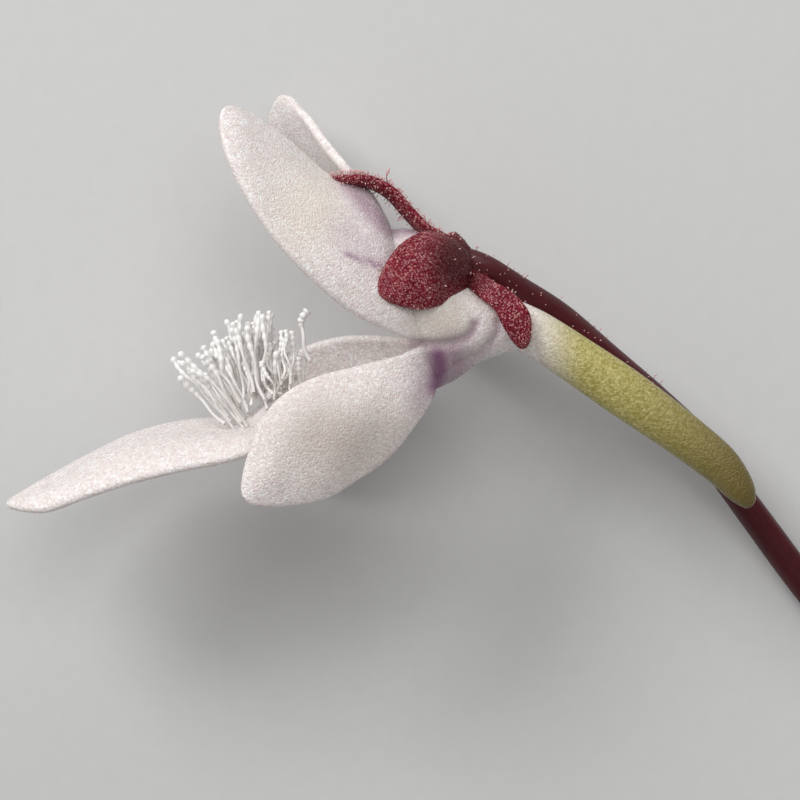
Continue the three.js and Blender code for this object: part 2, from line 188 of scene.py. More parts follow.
def petalSkin():
    # Living petal: a skin of domed clear cells over airy white tissue, which glistens like frost.
    # The same skin turns violet in the throat's folds and yellow-green along the spur. Painted light is mixed into it
    # as well: glinting and shaded cells, a cream highlight on the upper left lobe, painted shade on the lower lobes and
    # painted lilac shade between the upper lobes.
    look = petalLook
    material, tree, place = newMaterial("petalSkin")
    cloud = addNode(tree, "ShaderNodeTexNoise", {"Scale": perMetre(0.9), "Detail": 3.0}, {"Vector": place})
    cells = addNode(tree, "ShaderNodeTexVoronoi", {"Scale": perMetre(look["cell"])}, {"Vector": place})
    own = addNode(tree, "ShaderNodeSeparateColor", {}, {"Color": cells.outputs["Color"]})
    tone = mixColour(tree, cloud.outputs["Fac"], look["shade"], look["white"])
    # Painted light: some cells are painted brighter, as glints that catch the light, and others are painted darker, as
    # shade, each as a whole.
    paintedCellShade = addNode(tree, "ShaderNodeMapRange", {"From Min": 0.5, "To Min": 0.0, "To Max": 0.28}, {"Value": own.outputs[0]})
    tone = mixColour(tree, paintedCellShade.outputs[0], tone, look["paintedCellShade"])
    paintedCellGlint = addNode(tree, "ShaderNodeMapRange", {"From Min": 0.6, "To Min": 0.0, "To Max": 0.8}, {"Value": own.outputs[2]})
    tone = mixColour(tree, paintedCellGlint.outputs[0], tone, "#ffffff")
    for mark in ("paintedLowerLobeShade", "creamTintAndHighlight", "violetTintAndShade"):
        amount = addNode(tree, "ShaderNodeAttribute", {"attribute_name": mark})
        tone = mixColour(tree, amount.outputs["Fac"], tone, look[mark])
    speck = addNode(tree, "ShaderNodeTexNoise", {"Scale": perMetre(0.09), "Detail": 2.0}, {"Vector": place})
    speckRange = addNode(tree, "ShaderNodeMapRange", {"From Min": 0.35, "From Max": 0.7}, {"Value": speck.outputs["Fac"]})
    green = mixColour(tree, speckRange.outputs[0], look["spurDark"], look["spurLight"])
    tip = addNode(tree, "ShaderNodeAttribute", {"attribute_name": "olive"})
    green = mixColour(tree, tip.outputs["Fac"], green, look["spurTip"])
    spur = addNode(tree, "ShaderNodeAttribute", {"attribute_name": "green"})
    tone = mixColour(tree, spur.outputs["Fac"], tone, green)
    wet = addNode(tree, "ShaderNodeMapRange", {"To Min": 0.12, "To Max": 0.5}, {"Value": own.outputs[1]})
    dome = addNode(tree, "ShaderNodeMapRange", {"From Min": 0.0, "From Max": 0.75, "To Min": 1.0, "To Max": 0.0},
                   {"Value": cells.outputs["Distance"]})
    bump = addNode(tree, "ShaderNodeBump", {"Strength": 1.0, "Distance": 0.016 * mm}, {"Height": dome.outputs[0]})
    finishMaterial(tree, {"IOR": 1.4, "Subsurface Weight": 0.35,
                          "Subsurface Radius": (1.0, 0.85, 0.8), "Subsurface Scale": 0.2 * mm},
                   {"Base Color": tone, "Normal": bump.outputs[0], "Roughness": wet.outputs[0]})
    return material


calyxLook = {"paintedGrooveShade": "#420915", "bead": "#8a2034", "glint": "#eebcb6", "paintedCupShade": "#2c0206", "roughness": 0.34}


def calyxSkin():
    # Sepal: wine-red skin of swollen cells like rows of beads, painted darker as shade in the grooves between them,
    # each bead with its own small painted highlight.
    look = calyxLook
    material, tree, place = newMaterial("calyxSkin")
    bead = addNode(tree, "ShaderNodeAttribute", {"attribute_name": "bead"})
    cloud = addNode(tree, "ShaderNodeTexNoise", {"Scale": perMetre(0.5), "Detail": 3.0}, {"Vector": place})
    # Painted shade: darker in the grooves between the beads.
    tone = mixColour(tree, bead.outputs["Fac"], look["paintedGrooveShade"], look["bead"])
    shine = addNode(tree, "ShaderNodeAttribute", {"attribute_name": "glint"})
    tone = mixColour(tree, shine.outputs["Fac"], tone, look["glint"])
    # Painted shade: darker towards the cup's middle.
    paintedCupShade = addNode(tree, "ShaderNodeAttribute", {"attribute_name": "paintedCupShade"})
    tone = mixColour(tree, paintedCupShade.outputs["Fac"], tone, look["paintedCupShade"])
    dim = addNode(tree, "ShaderNodeMapRange", {"From Min": 0.35, "From Max": 0.7, "To Min": 0.35, "To Max": 0.0},
                  {"Value": cloud.outputs["Fac"]})
    tone = mixColour(tree, dim.outputs[0], tone, look["paintedGrooveShade"])
    fine = addNode(tree, "ShaderNodeTexVoronoi", {"Scale": perMetre(0.05)}, {"Vector": place})
    bump = addNode(tree, "ShaderNodeBump", {"Strength": 0.3, "Distance": 0.008 * mm}, {"Height": fine.outputs["Distance"]})
    finishMaterial(tree, {"Roughness": look["roughness"], "IOR": 1.4, "Subsurface Weight": 0.12,
                          "Subsurface Radius": (1.0, 0.3, 0.3), "Subsurface Scale": 0.1 * mm,
                          "Specular IOR Level": 0.1},
                   {"Base Color": tone, "Normal": bump.outputs[0]})
    return material


def stalkSkin():
    # Flower stalk: smooth dark red-brown skin of long cells, which run along it and part the highlight.
    material, tree, place = newMaterial("stalkSkin")
    along = addNode(tree, "ShaderNodeAttribute", {"attribute_name": "run"})
    round_ = addNode(tree, "ShaderNodeAttribute", {"attribute_name": "turn"})
    where = addNode(tree, "ShaderNodeCombineXYZ", {}, {"X": along.outputs["Fac"], "Y": round_.outputs["Fac"]})
    cells = addNode(tree, "ShaderNodeTexVoronoi", {"Scale": 1.0, "voronoi_dimensions": "2D"}, {"Vector": where.outputs[0]})
    cloud = addNode(tree, "ShaderNodeTexNoise", {"Scale": perMetre(1.1), "Detail": 3.0}, {"Vector": place})
    tone = mixColour(tree, cloud.outputs["Fac"], "#300a10", "#64222a")
    tone = mixColour(tree, cells.outputs["Distance"], tone, "#451318")
    bump = addNode(tree, "ShaderNodeBump", {"Strength": 0.4, "Distance": 0.01 * mm}, {"Height": cells.outputs["Distance"]})
    finishMaterial(tree, {"Roughness": 0.36, "IOR": 1.4, "Specular IOR Level": 0.35},
                   {"Base Color": tone, "Normal": bump.outputs[0]})
    return material


def clearHair(name, tint, tip):
    # Plant hair: a chain of clear, water-filled cells, which light runs through to the head.
    material, tree, place = newMaterial(name)
    head = addNode(tree, "ShaderNodeAttribute", {"attribute_name": "head"})
    tone = mixColour(tree, head.outputs["Fac"], tint, tip)
    finishMaterial(tree, {"Roughness": 0.25, "IOR": 1.37, "Subsurface Weight": 0.3, "Subsurface Radius": (1, 1, 1),
                          "Subsurface Scale": 0.06 * mm, "Coat Weight": 0.3}, {"Base Color": tone})
    return material


def innerSkin(name, light, dark, grain):
    # Stamens and pistil: matt pale tissue with a fine grain of cells, grain millimetres across.
    material, tree, place = newMaterial(name)
    cells = addNode(tree, "ShaderNodeTexVoronoi", {"Scale": perMetre(grain)}, {"Vector": place})
    tone = mixColour(tree, cells.outputs["Distance"], light, dark)
    bump = addNode(tree, "ShaderNodeBump", {"Strength": 0.5, "Distance": 0.01 * mm}, {"Height": cells.outputs["Distance"]})
    finishMaterial(tree, {"Roughness": 0.5, "Subsurface Weight": 0.2, "Subsurface Scale": 0.1 * mm},
                   {"Base Color": tone, "Normal": bump.outputs[0]})
    return material


petalMaterial = petalSkin()
calyxMaterial = calyxSkin()
stalkMaterial = stalkSkin()
hairMaterial = clearHair("palateHairCells", "#f3efec", "#fcfaf7")
glandMaterial = clearHair("glandHairCells", "#6b2430", "#d9a9a6")
print("materials made")


# ---- corolla: the spur, the tube and the five lobes, which grow as one sheet

tube = {
    # From the spur's tip to the throat's rim: centre, half axis towards the upper side, half width.
    "stations": [
        [7.4, -6.12, 0.3, 0.02, 0.015, 0.02], [7.36, -6.03, 0.3, 0.15, 0.11, 0.2],
        [7.13, -5.68, 0.3, 0.29, 0.24, 0.38], [6.6, -5.05, 0.29, 0.33, 0.38, 0.5],
        [5.53, -4.2, 0.26, 0.34, 0.45, 0.56], [4.25, -3.28, 0.22, 0.35, 0.51, 0.61],
        [3.05, -2.46, 0.16, 0.345, 0.49, 0.6], [2.13, -1.86, 0.1, 0.29, 0.51, 0.6],
        [1.6, -1.63, 0.06, 0.12, 0.62, 0.66], [1.1, -1.55, 0.03, -0.06, 0.76, 0.8],
        [0.62, -1.5, 0, -0.18, 0.94, 1.02], [0.2, -1.42, 0, -0.26, 1.2, 1.27],
        [-0.12, -1.27, 0, -0.29, 1.57, 1.48], [-0.4, -1.14, 0, -0.36, 1.84, 1.62],
        [-0.72, -1.11, 0, -0.49, 1.95, 1.7], [-1.03, -1.17, 0, -0.64, 1.97, 1.75],
    ],
    "rows": 96,
    "wall": 0.24,
    "hollowFrom": 0.16,  # how far up from the spur's tip its hollow begins
}


def tubeSurface(along, degrees, inset=0.0):
    # Ellipses carried from the spur's tip, along 0, to the rim, along 1. degrees turn from the flower's
    # left, 0, to its upper side, 90. inset draws the ellipses in, to the inside of the wall.
    station = splineAt(tube["stations"], np.atleast_1d(along))[:, None, :]
    angle = np.radians(np.atleast_1d(degrees))[None, :, None]
    height = np.linalg.norm(station[..., 3:5], axis=-1, keepdims=True)
    up = np.concatenate([station[..., 3:5] * (1 - inset / height), np.zeros_like(height)], -1)
    side = np.concatenate([np.zeros_like(up[..., :2]), station[..., 5:6] - inset], -1)
    return station[..., :3] + up * np.sin(angle) + side * np.cos(angle)


lobes = {
    # rim: where the lobe starts and ends round the throat, in degrees.
    # rows: from the throat outwards, one edge, the other edge, and how far the sheet bows between them,
    # outwards or as a way of its own.
    # tip: the share of the lobe's length at which its end starts to round off.
    # roll: how late across the lobe its bow falls off, so that high values roll the margins over.
    "upperLeft": {
        "rim": [50, -27], "wave": 0.035, "tip": 0.78, "roll": 2,
        "rows": [
            [[-1.8, 1.05, 0.0], [-1.4, -1.85, 1.85], [0.1, 0.0, 0.8]],
            [[-2.3, 1.8, 0.05], [-2.55, -1.32, 2.55], 0.6],
            [[-3.15, 2.12, 0.65], [-3.6, -0.45, 3.05], 0.36], [[-3.87, 2.65, 0.95], [-4.45, 0.45, 3.3], 0.3],
            [[-4.55, 3.2, 1.3], [-5.2, 1.55, 3.3], 0.26], [[-5.2, 3.72, 1.65], [-5.75, 2.65, 3.05], 0.2],
            [[-5.52, 3.98, 2.0], [-6.08, 3.45, 2.75], 0.06],
        ],
    },
    "lowerLeft": {
        "rim": [-27, -62], "wave": 0.03, "tip": 0.68, "roll": 2,
        "rows": [
            [[-1.38, -2.33, 1.66], [-0.6, -3.42, 1.1], 0.1], [[-2.33, -2.6, 2.05], [-1.08, -4.15, 1.6], 0.28],
            [[-3.25, -2.83, 2.5], [-1.78, -4.95, 2.1], 0.42], [[-4.12, -3.25, 2.8], [-2.7, -5.58, 2.5], 0.45],
            [[-4.95, -3.95, 2.95], [-3.6, -6.12, 2.75], 0.4], [[-5.72, -5.15, 3.05], [-4.75, -6.6, 2.95], 0.2],
        ],
    },
    "lowerMiddle": {
        "rim": [-62, -118], "wave": 0.025, "tip": 0.88, "roll": 4,
        "rows": [
            [[-1.7, -3.43, 1.15], [-1.7, -3.2, -1.15], 0.25], [[-3.1, -3.98, 1.45], [-3.1, -3.43, -1.5], 0.05],
            [[-4.4, -4.58, 1.6], [-4.4, -3.88, -1.85], -0.25], [[-5.6, -4.98, 1.65], [-5.6, -4.18, -2.0], -0.42],
            [[-6.8, -5.21, 1.6], [-6.8, -4.3, -2.0], -0.46], [[-8.0, -5.5, 1.5], [-8.0, -4.56, -1.85], -0.44],
            [[-9.1, -5.87, 1.3], [-9.1, -5.06, -1.6], -0.38], [[-10.1, -6.24, 1.0], [-10.1, -5.6, -1.2], -0.3],
            [[-11.15, -6.38, 0.6], [-11.1, -6.08, -0.75], -0.16],
        ],
    },
    "lowerRight": {
        "rim": [-118, -153], "wave": 0.03, "tip": 0.7, "roll": 2,
        "rows": [
            [[-0.55, -3.2, -1.35], [-1.2, -1.9, -1.85], 0.15], [[-1.2, -3.85, -2.05], [-2.2, -1.83, -2.4], 0.25],
            [[-2.0, -4.5, -2.65], [-3.1, -1.9, -2.9], 0.35], [[-2.9, -5.05, -3.15], [-3.95, -2.2, -3.3], 0.38],
            [[-3.8, -5.35, -3.45], [-4.65, -2.9, -3.55], 0.34], [[-4.6, -5.6, -3.5], [-5.5, -4.0, -3.6], 0.12],
        ],
    },
    "upperRight": {
        "rim": [-153, -310], "wave": 0.035, "tip": 0.78, "roll": 2,
        "rows": [
            [[-1.35, -0.95, -2.2], [-1.8, 1.05, 0.0], [-0.2, 0.6, -0.35]],
            [[-1.95, 0.0, -2.85], [-2.3, 1.8, -0.05], [-0.1, 0.4, -0.3]],
            [[-2.65, 0.9, -3.2], [-2.82, 2.42, -0.25], [0.0, 0.22, -0.22]],
            [[-3.35, 1.75, -3.42], [-3.22, 2.95, -0.7], [0.04, 0.1, -0.15]],
            [[-4.05, 2.55, -3.45], [-3.56, 3.42, -1.2], [0.04, 0.08, -0.1]],
            [[-4.65, 3.3, -3.35], [-3.85, 3.9, -1.7], [0.0, 0.06, -0.05]],
            [[-4.85, 4.0, -3.05], [-3.9, 4.42, -2.2], [0.0, 0.03, 0.0]],
        ],
    },
}
lobeGrid = {"rows": 96, "columns": 43, "tubeLead": 0.93, "edge": 0.12}


def sheetRows(rows, across, roll=2):
    # The sheet at each given row: the straight line between its two edges, bowed in an arch.
    first, second = (np.array([row[k] for row in rows], float) for k in (0, 1))
    half = (second - first)[:, None] / 2
    travel = np.gradient(first + second, axis=0)
    outward = unit(np.cross(travel, second - first))
    bow = np.array([way * row[2] if np.isscalar(row[2]) else row[2] for row, way in zip(rows, outward)])
    s = across[None, :, None]
    return (first + second)[:, None] / 2 + s * half + bow[:, None] * (1 - np.abs(s) ** roll)


def roundedTip(points, t, roundFrom):
    # Draws the rows in to the middle line as half an ellipse over the last part of the sheet.
    end = np.clip((t - roundFrom) / (1 - roundFrom), 0, 1)
    width = np.sqrt(1 - end ** 2)[:, None, None]
    middle = points[:, points.shape[1] // 2][:, None]
    return middle + (points - middle) * width


def edgeDistance(points):
    # How far each point is along its row from the nearer end of the row.
    step = np.linalg.norm(np.diff(points, axis=1), axis=-1)
    fromFirst = np.pad(np.cumsum(step, axis=1), ((0, 0), (1, 0)))
    return np.minimum(fromFirst, fromFirst[:, -1:] - fromFirst)


folds = [
    # Folds of the tube's side under the sepals: line, depth and width, as seen from either side.
    {"line": [[-1.02, -2.03], [-0.53, -2.08], [-0.08, -2.06], [0.24, -1.94], [0.42, -1.78], [0.49, -1.58]],
     "depth": 0.13, "width": 0.12, "violetTintAndShade": 0.5},
    {"line": [[0.0, -2.62], [0.29, -2.5], [0.65, -2.28], [0.92, -2.0], [1.07, -1.74], [1.07, -1.5]],
     "depth": 0.09, "width": 0.1, "violetTintAndShade": 0.38},
]
violetAndShadeMarks = [
    # Places that are violet without a fold, and one painted lilac as shade: line, width and strength.
    {"line": [[-0.42, -2.36], [-0.36, -2.68], [-0.45, -3.1]], "width": 0.27, "violetTintAndShade": 0.95},
    {"line": [[-0.08, -2.3], [0.02, -2.62], [-0.1, -2.95]], "width": 0.42, "violetTintAndShade": 0.62},
    {"line": [[-0.7, -2.6], [-0.85, -3.4]], "width": 0.3, "violetTintAndShade": 0.3},
    {"line": [[-3.1, 0.46], [-2.85, 0.32], [-2.55, 0.15]], "width": 0.05, "violetTintAndShade": 0.22},
    {"line": [[-2.7, 0.2], [-2.2, -0.02], [-1.75, -0.17]], "width": 0.065, "violetTintAndShade": 0.75},
    {"line": [[-2.7, 0.75], [-2.0, 0.2], [-1.4, -0.2]], "width": 0.45, "violetTintAndShade": 0.24},
    # Painted shade: the face between the upper lobes, where it turns down under the sepal, painted lilac.
    {"line": [[-2.6, 1.95], [-2.15, 1.3], [-1.7, 0.85], [-0.8, 0.85]], "width": 0.24, "violetTintAndShade": 0.6},
]


def foldDepth(points):
    # Deepest on a fold's line, and fading from it as a bell curve.
    return sum(fold["depth"] * np.exp(-((distanceTo(points, fold["line"]) / fold["width"]) ** 2)) for fold in folds)


def corollaMarks(points):
    violetTintAndShade = np.zeros(points.shape[:2])
    for mark in folds + violetAndShadeMarks:
        bell = np.exp(-((distanceTo(points, mark["line"]) / (1.3 * mark["width"])) ** 2))
        violetTintAndShade = np.maximum(violetTintAndShade, mark["violetTintAndShade"] * bell)
    green = smooth(1.5, 3.3, points[..., 0])
    olive = smooth(3.6, 7.5, points[..., 0]) * 0.95
    # Cream: a painted highlight in the middle of the upper left lobe, and the tube's own cream tint beside the throat.
    creamTintAndHighlight = 0.5 * np.exp(-((np.hypot(points[..., 0] + 3.6, points[..., 1] - 1.3) / 0.9) ** 2))
    creamTintAndHighlight = np.maximum(creamTintAndHighlight, 0.6 * np.exp(-((np.hypot(points[..., 0] + 0.3, points[..., 1] + 1.6) / 0.7) ** 2)))
    # Painted shade: the lower lobes, away from the flower's middle plane, are darkened towards a warm grey.
    paintedLowerLobeShade = 0.75 * np.exp(-(((points[..., 0] + 3.0) / 1.7) ** 2) - ((points[..., 1] + 4.4) / 1.1) ** 2)
    paintedLowerLobeShade = paintedLowerLobeShade * smooth(0.9, 1.8, np.abs(points[..., 2]))
    return violetTintAndShade, green, olive, creamTintAndHighlight, paintedLowerLobeShade


def lobeSkins(lobe):
    # The middle of the sheet is smooth lines from inside the tube over the rim and through the lobe's
    # rows, one for each column. Columns crowd to the edges, where the half thickness falls to nothing as
    # a quarter circle. The two skins go round as one closed grid.
    across = np.sin(np.linspace(-math.pi / 2, math.pi / 2, lobeGrid["columns"]))
    degrees = lobe["rim"][0] + (lobe["rim"][1] - lobe["rim"][0]) * (across + 1) / 2
    lead = tubeSurface([lobeGrid["tubeLead"], 1.0], degrees, tube["wall"] / 2)
    control = np.concatenate([lead, sheetRows(lobe["rows"], across, lobe["roll"])])
    t = 1 - (1 - np.linspace(0, 1, lobeGrid["rows"])) ** 1.6
    last = len(control) - 1
    middle = splineAt(control, (1 + t * (last - 1)) / last)
    middle = roundedTip(middle, t, lobe["tip"])
    run = t[:, None]
    ripple = np.sin(9 * run + 2) * np.cos(3.2 * across + 4 * run) + 0.6 * np.sin(15 * run - 5 * across)
    normals = gridNormals(middle)
    normals[-4:] = normals[-5]
    reach = smooth(0.15, 0.5, run) * (1 - smooth(0.85, 1.0, run))
    middle += normals * (lobe["wave"] * ripple * reach)[..., None]
    near = np.clip(edgeDistance(middle) / lobeGrid["edge"], 0, 1)
    thick = tube["wall"] / 2 * np.sqrt(1 - (1 - near) ** 2)
    rimWay = (tubeSurface([1.0], degrees) - tubeSurface([1.0], degrees, tube["wall"])) / 2
    outward = normals * np.sign((normals[3] * rimWay[0]).sum())
    free = smooth(0.0, 0.07, run)[..., None]
    half = rimWay * (1 - free) + outward * thick[..., None] * free
    pressed = rimWay * (2 / tube["wall"]) * (foldDepth(middle + half) * (1 - smooth(0.0, 0.1, run)))[..., None]
    outer, inner = middle + half - pressed, middle - half - pressed
    return degrees, np.concatenate([outer, inner[:, ::-1]], axis=1)


def tubeSkins(degrees):
    # The outside of the wall from the spur's tip to the rim, and the inside from the rim to the hollow's
    # closed end, both pressed in at the folds.
    along = 1 - (1 - np.linspace(0, 1, tube["rows"]) ** 1.15)
    outer = tubeSurface(along, degrees)
    inner = tubeSurface(along[along >= tube["hollowFrom"]], degrees, tube["wall"])
    press = foldDepth(outer)
    way = unit(outer - tubeSurface(along, degrees, 0.01))
    outer = outer - way * press[..., None]
    inner = inner - way[-len(inner):] * press[-len(inner):][..., None]
    end = splineAt(tube["stations"], np.array([tube["hollowFrom"]]))[:, :3]
    return outer, np.concatenate([np.repeat(end[:, None], len(degrees), 1), inner])


def makeCorolla():
    grids, closed = [], []
    for lobe in lobes.values():
        degrees, blade = lobeSkins(lobe)
        outer, inner = tubeSkins(degrees)
        grids += [blade, outer, inner]
        closed += [True, False, False]
    marks = dict(zip(("violetTintAndShade", "green", "olive", "creamTintAndHighlight", "paintedLowerLobeShade"), zip(*(corollaMarks(grid) for grid in grids))))
    piece = addPiece("corolla", grids, petalMaterial, marks, closed, weld=2e-3)
    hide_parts("corolla_tube", "petal_upper_left", "petal_lower_left", "petal_lower_middle",
                "petal_lower_right", "petal_upper_right")
    print("corolla:", len(piece.data.polygons), "faces")


makeCorolla()


# ---- calyx: the cup and five sepals, set with beads of swollen cells

sepalShape = {
    "thickness": 0.26, "rows": 180, "around": 270, "beadPitch": 0.064, "beadHeight": 0.015,
    "upperMiddle": {
        "node": "sepal_upper_middle", "tip": 0.72,
        "rows": [
            [[0.15, 0.4, 0.45], [0.15, 0.4, -0.45], 0.1], [[-0.25, 0.66, 0.55], [-0.25, 0.66, -0.52], 0.16],
            [[-0.65, 0.88, 0.6], [-0.65, 0.88, -0.5], 0.16],
            [[-1.1, 1.34, 0.65], [-1.1, 1.34, -0.42], 0.16], [[-1.52, 1.8, 0.7], [-1.52, 1.8, -0.33], 0.16],
            [[-2.05, 2.08, 0.78], [-2.05, 2.08, -0.15], 0.14], [[-2.6, 2.13, 0.86], [-2.6, 2.13, 0.18], 0.1],
            [[-3.14, 2.1, 0.98], [-3.14, 2.1, 0.6], 0.04],
        ],
    },
    "upperLeft": {
        "node": "sepal_upper_left", "tip": 0.66,
        "rows": [
            [[0.25, 0.1, 0.0], [0.4, -0.3, 0.0], 0.1], [[-0.15, 0.55, 0.4], [0.28, -0.64, 0.5], 0.2],
            [[-0.72, 0.72, 1.05], [-0.18, -1.0, 1.25], 0.26], [[-1.2, 0.52, 1.6], [-0.6, -1.15, 1.85], 0.26],
            [[-1.66, 0.12, 2.0], [-1.1, -1.24, 2.15], 0.2], [[-2.14, -0.4, 2.15], [-1.68, -1.28, 2.3], 0.08],
        ],
    },
    "lowerLeft": {
        "node": "sepal_lower_left", "tip": 0.66,
        "rows": [
            [[0.3, -0.1, 0.4], [0.15, -0.5, 0.4], 0.04], [[0.95, -0.5, 0.85], [0.75, -0.98, 1.0], 0.06],
            [[1.42, -0.78, 0.95], [1.02, -1.2, 1.2], 0.08], [[1.86, -1.3, 0.95], [1.2, -1.6, 1.22], 0.08],
            [[2.05, -2.0, 0.85], [1.47, -2.33, 1.05], 0.04],
        ],
    },
}


def mirrored(rows):
    # The same rows on the flower's other side, with the two edges changed over.
    turn = np.array([1, 1, -1])
    return [[np.array(row[1]) * turn, np.array(row[0]) * turn, row[2]] for row in rows]


def beads(along, around, columns):
    # Domed cells, one in each square of a grid but shifted at random, every second row set over by half.
    # Gives each point its height on the nearest cell, and that cell's own random number.
    shift = random.uniform(-0.26, 0.26, (97, columns, 2))
    own = random.uniform(0, 1, (97, columns))
    along, around = np.broadcast_arrays(along, around)
    nearest, number = np.full(along.shape, 9.0), np.zeros(along.shape)
    for rowStep in (-1, 0, 1):
        for columnStep in (-1, 0, 1):
            row = np.floor(along).astype(int) + rowStep
            column = np.floor(around).astype(int) + columnStep
            off = shift[row % 97, column % columns]
            away = np.hypot(row + 0.5 + off[..., 0] - along, column + 0.25 + 0.5 * (row % 2) + off[..., 1] - around)
            number = np.where(away < nearest, own[row % 97, column % columns], number)
            nearest = np.minimum(nearest, away)
    return np.sqrt(np.clip(1 - (nearest / 0.68) ** 2, 0, 1)), number


def sepalSolid(sepal):
    # A flattened oval carried along the sepal: across it goes from edge to edge on the outside and back
    # on the inside, and its half thickness falls off as a blunt ellipse towards the edges.
    shape = sepalShape
    turn = np.linspace(0, 2 * math.pi, shape["around"], endpoint=False)
    across = -np.cos(turn)
    t = 1 - (1 - np.linspace(0, 1, shape["rows"])) ** 1.6
    # Going round, the sheet is taken at each s, then lifted along its own normal.
    sheet = splineAt(sheetRows(sepal["rows"], np.linspace(-1, 1, 41)), t)
    sheet = roundedTip(sheet, t, sepal["tip"])
    normals = gridNormals(sheet)
    normals[-3:] = normals[-4]
    column = (across + 1) * 20
    low = np.clip(column.astype(int), 0, 39)
    part = (column - low)[None, :, None]
    centre = sheet[:, low] * (1 - part) + sheet[:, low + 1] * part
    lift = unit(normals[:, low] * (1 - part) + normals[:, low + 1] * part)
    end = np.sqrt(np.clip(1 - np.clip((t - 0.6) / 0.4, 0, 1) ** 4, 0.0, 1))[:, None]
    height = shape["thickness"] / 2 * np.sign(np.sin(turn)) * np.abs(np.sin(turn)) ** 0.7
    return centre + lift * (height * end)[..., None]


def withBeads(points, pitch, height):
    # Lifts beads from a closed grid, counted so that they are about pitch apart at its widest.
    length = np.linalg.norm(np.diff(points, axis=0), axis=-1).mean(1).sum()
    ringLengths = np.linalg.norm(np.roll(points, -1, axis=1) - points, axis=-1)
    girth = ringLengths.sum(1).max()
    runAlong = np.concatenate([[0], np.cumsum(np.linalg.norm(np.diff(points, axis=0), axis=-1).mean(1))]) / length
    widest = ringLengths[np.argmax(ringLengths.sum(1))]
    runAround = np.concatenate([[0], np.cumsum(widest)])[:-1] / girth
    columns = round(girth / pitch)
    field, number = beads(runAlong[:, None] * length / pitch, runAround[None, :] * columns, columns)
    glint = 0.8 * smooth(0.72, 1.0, field) * number ** 1.5
    # Painted shade: the calyx is darkened towards the cup's middle, where the sepals' bases meet.
    paintedCupShade = 0.75 * (1 - smooth(0.35, 1.15, np.hypot(points[..., 0] - 0.15, points[..., 1])))
    around = np.roll(points, -1, axis=1) - np.roll(points, 1, axis=1)
    outward = unit(np.cross(around, np.gradient(points, axis=0)))
    fade = 1 - smooth(0.93, 1.0, runAlong)[:, None]
    return points + outward * (height * field * fade)[..., None], outward, {"bead": [field], "glint": [glint], "paintedCupShade": [paintedCupShade]}


calyxCup = {
    "axis": [-0.9, 0.43, 0.0],
    # from the stalk's side to the throat's side: radius and place along the axis
    "profile": [[0.0, -0.95], [0.34, -0.9], [0.4, -0.62], [0.48, -0.25], [0.65, 0.14], [0.63, 0.42], [0.0, 0.62]],
    "rows": 100, "around": 220,
}


def cupSolid():
    # The profile, distance from the axis and height along it, turned round the axis.
    axis = unit(np.array(calyxCup["axis"]))
    side = unit(np.cross(axis, [0, 0, 1.0]))
    other = np.cross(axis, side)
    profile = splineAt(calyxCup["profile"], np.linspace(0, 1, calyxCup["rows"]))
    turn = np.linspace(0, 2 * math.pi, calyxCup["around"], endpoint=False)[None, :, None]
    spoke = side * np.cos(turn) + other * np.sin(turn)
    return profile[:, None, 1:] * axis + np.maximum(profile[:, None, :1], 0) * spoke


glandSites = []  # places and directions where gland hairs can stand


def makeCalyx():
    cup, outward, marks = withBeads(cupSolid()[:, ::-1], sepalShape["beadPitch"], sepalShape["beadHeight"])
    piece = addPiece("calyxCupSkin", [cup], calyxMaterial, marks)
    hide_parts("calyx_cup")
    glandSites.append(("cup", cup, outward))
    whole = {name: sepalShape[name] for name in ("upperMiddle", "upperLeft", "lowerLeft")}
    for name in ("upper", "lower"):
        left = whole[name + "Left"]
        whole[name + "Right"] = {"node": "sepal_" + name + "_right", "tip": left["tip"], "rows": mirrored(left["rows"])}
    for name, sepal in whole.items():
        solid = sepalSolid(sepal)
        solid, outward, marks = withBeads(solid[:, ::-1], sepalShape["beadPitch"], sepalShape["beadHeight"])
        piece = addPiece("sepal" + name[0].upper() + name[1:], [solid], calyxMaterial, marks)
        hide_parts(sepal["node"])
        glandSites.append((name, solid, outward))


makeCalyx()
print("calyx made")


# ---- stalk

stalk = {
    "line": [[0.2, -0.1, 0], [0.88, -0.3, -0.1], [1.6, -0.73, -0.36], [2.6, -1.38, -0.85], [3.75, -2.33, -1.35],
             [5.0, -3.4, -1.85], [6.25, -4.6, -2.4], [7.35, -6.05, -2.95], [8.5, -7.6, -3.37], [9.55, -8.98, -3.6]],
    "radius": 0.38, "rows": 260, "around": 48,
}


def rodFrames(path):
    # Two directions square to the path at each of its points.
    forward = unit(np.gradient(path, axis=0))
    side = unit(np.cross(forward, [0.1, 0.2, 1.0]))
    return side, np.cross(forward, side)


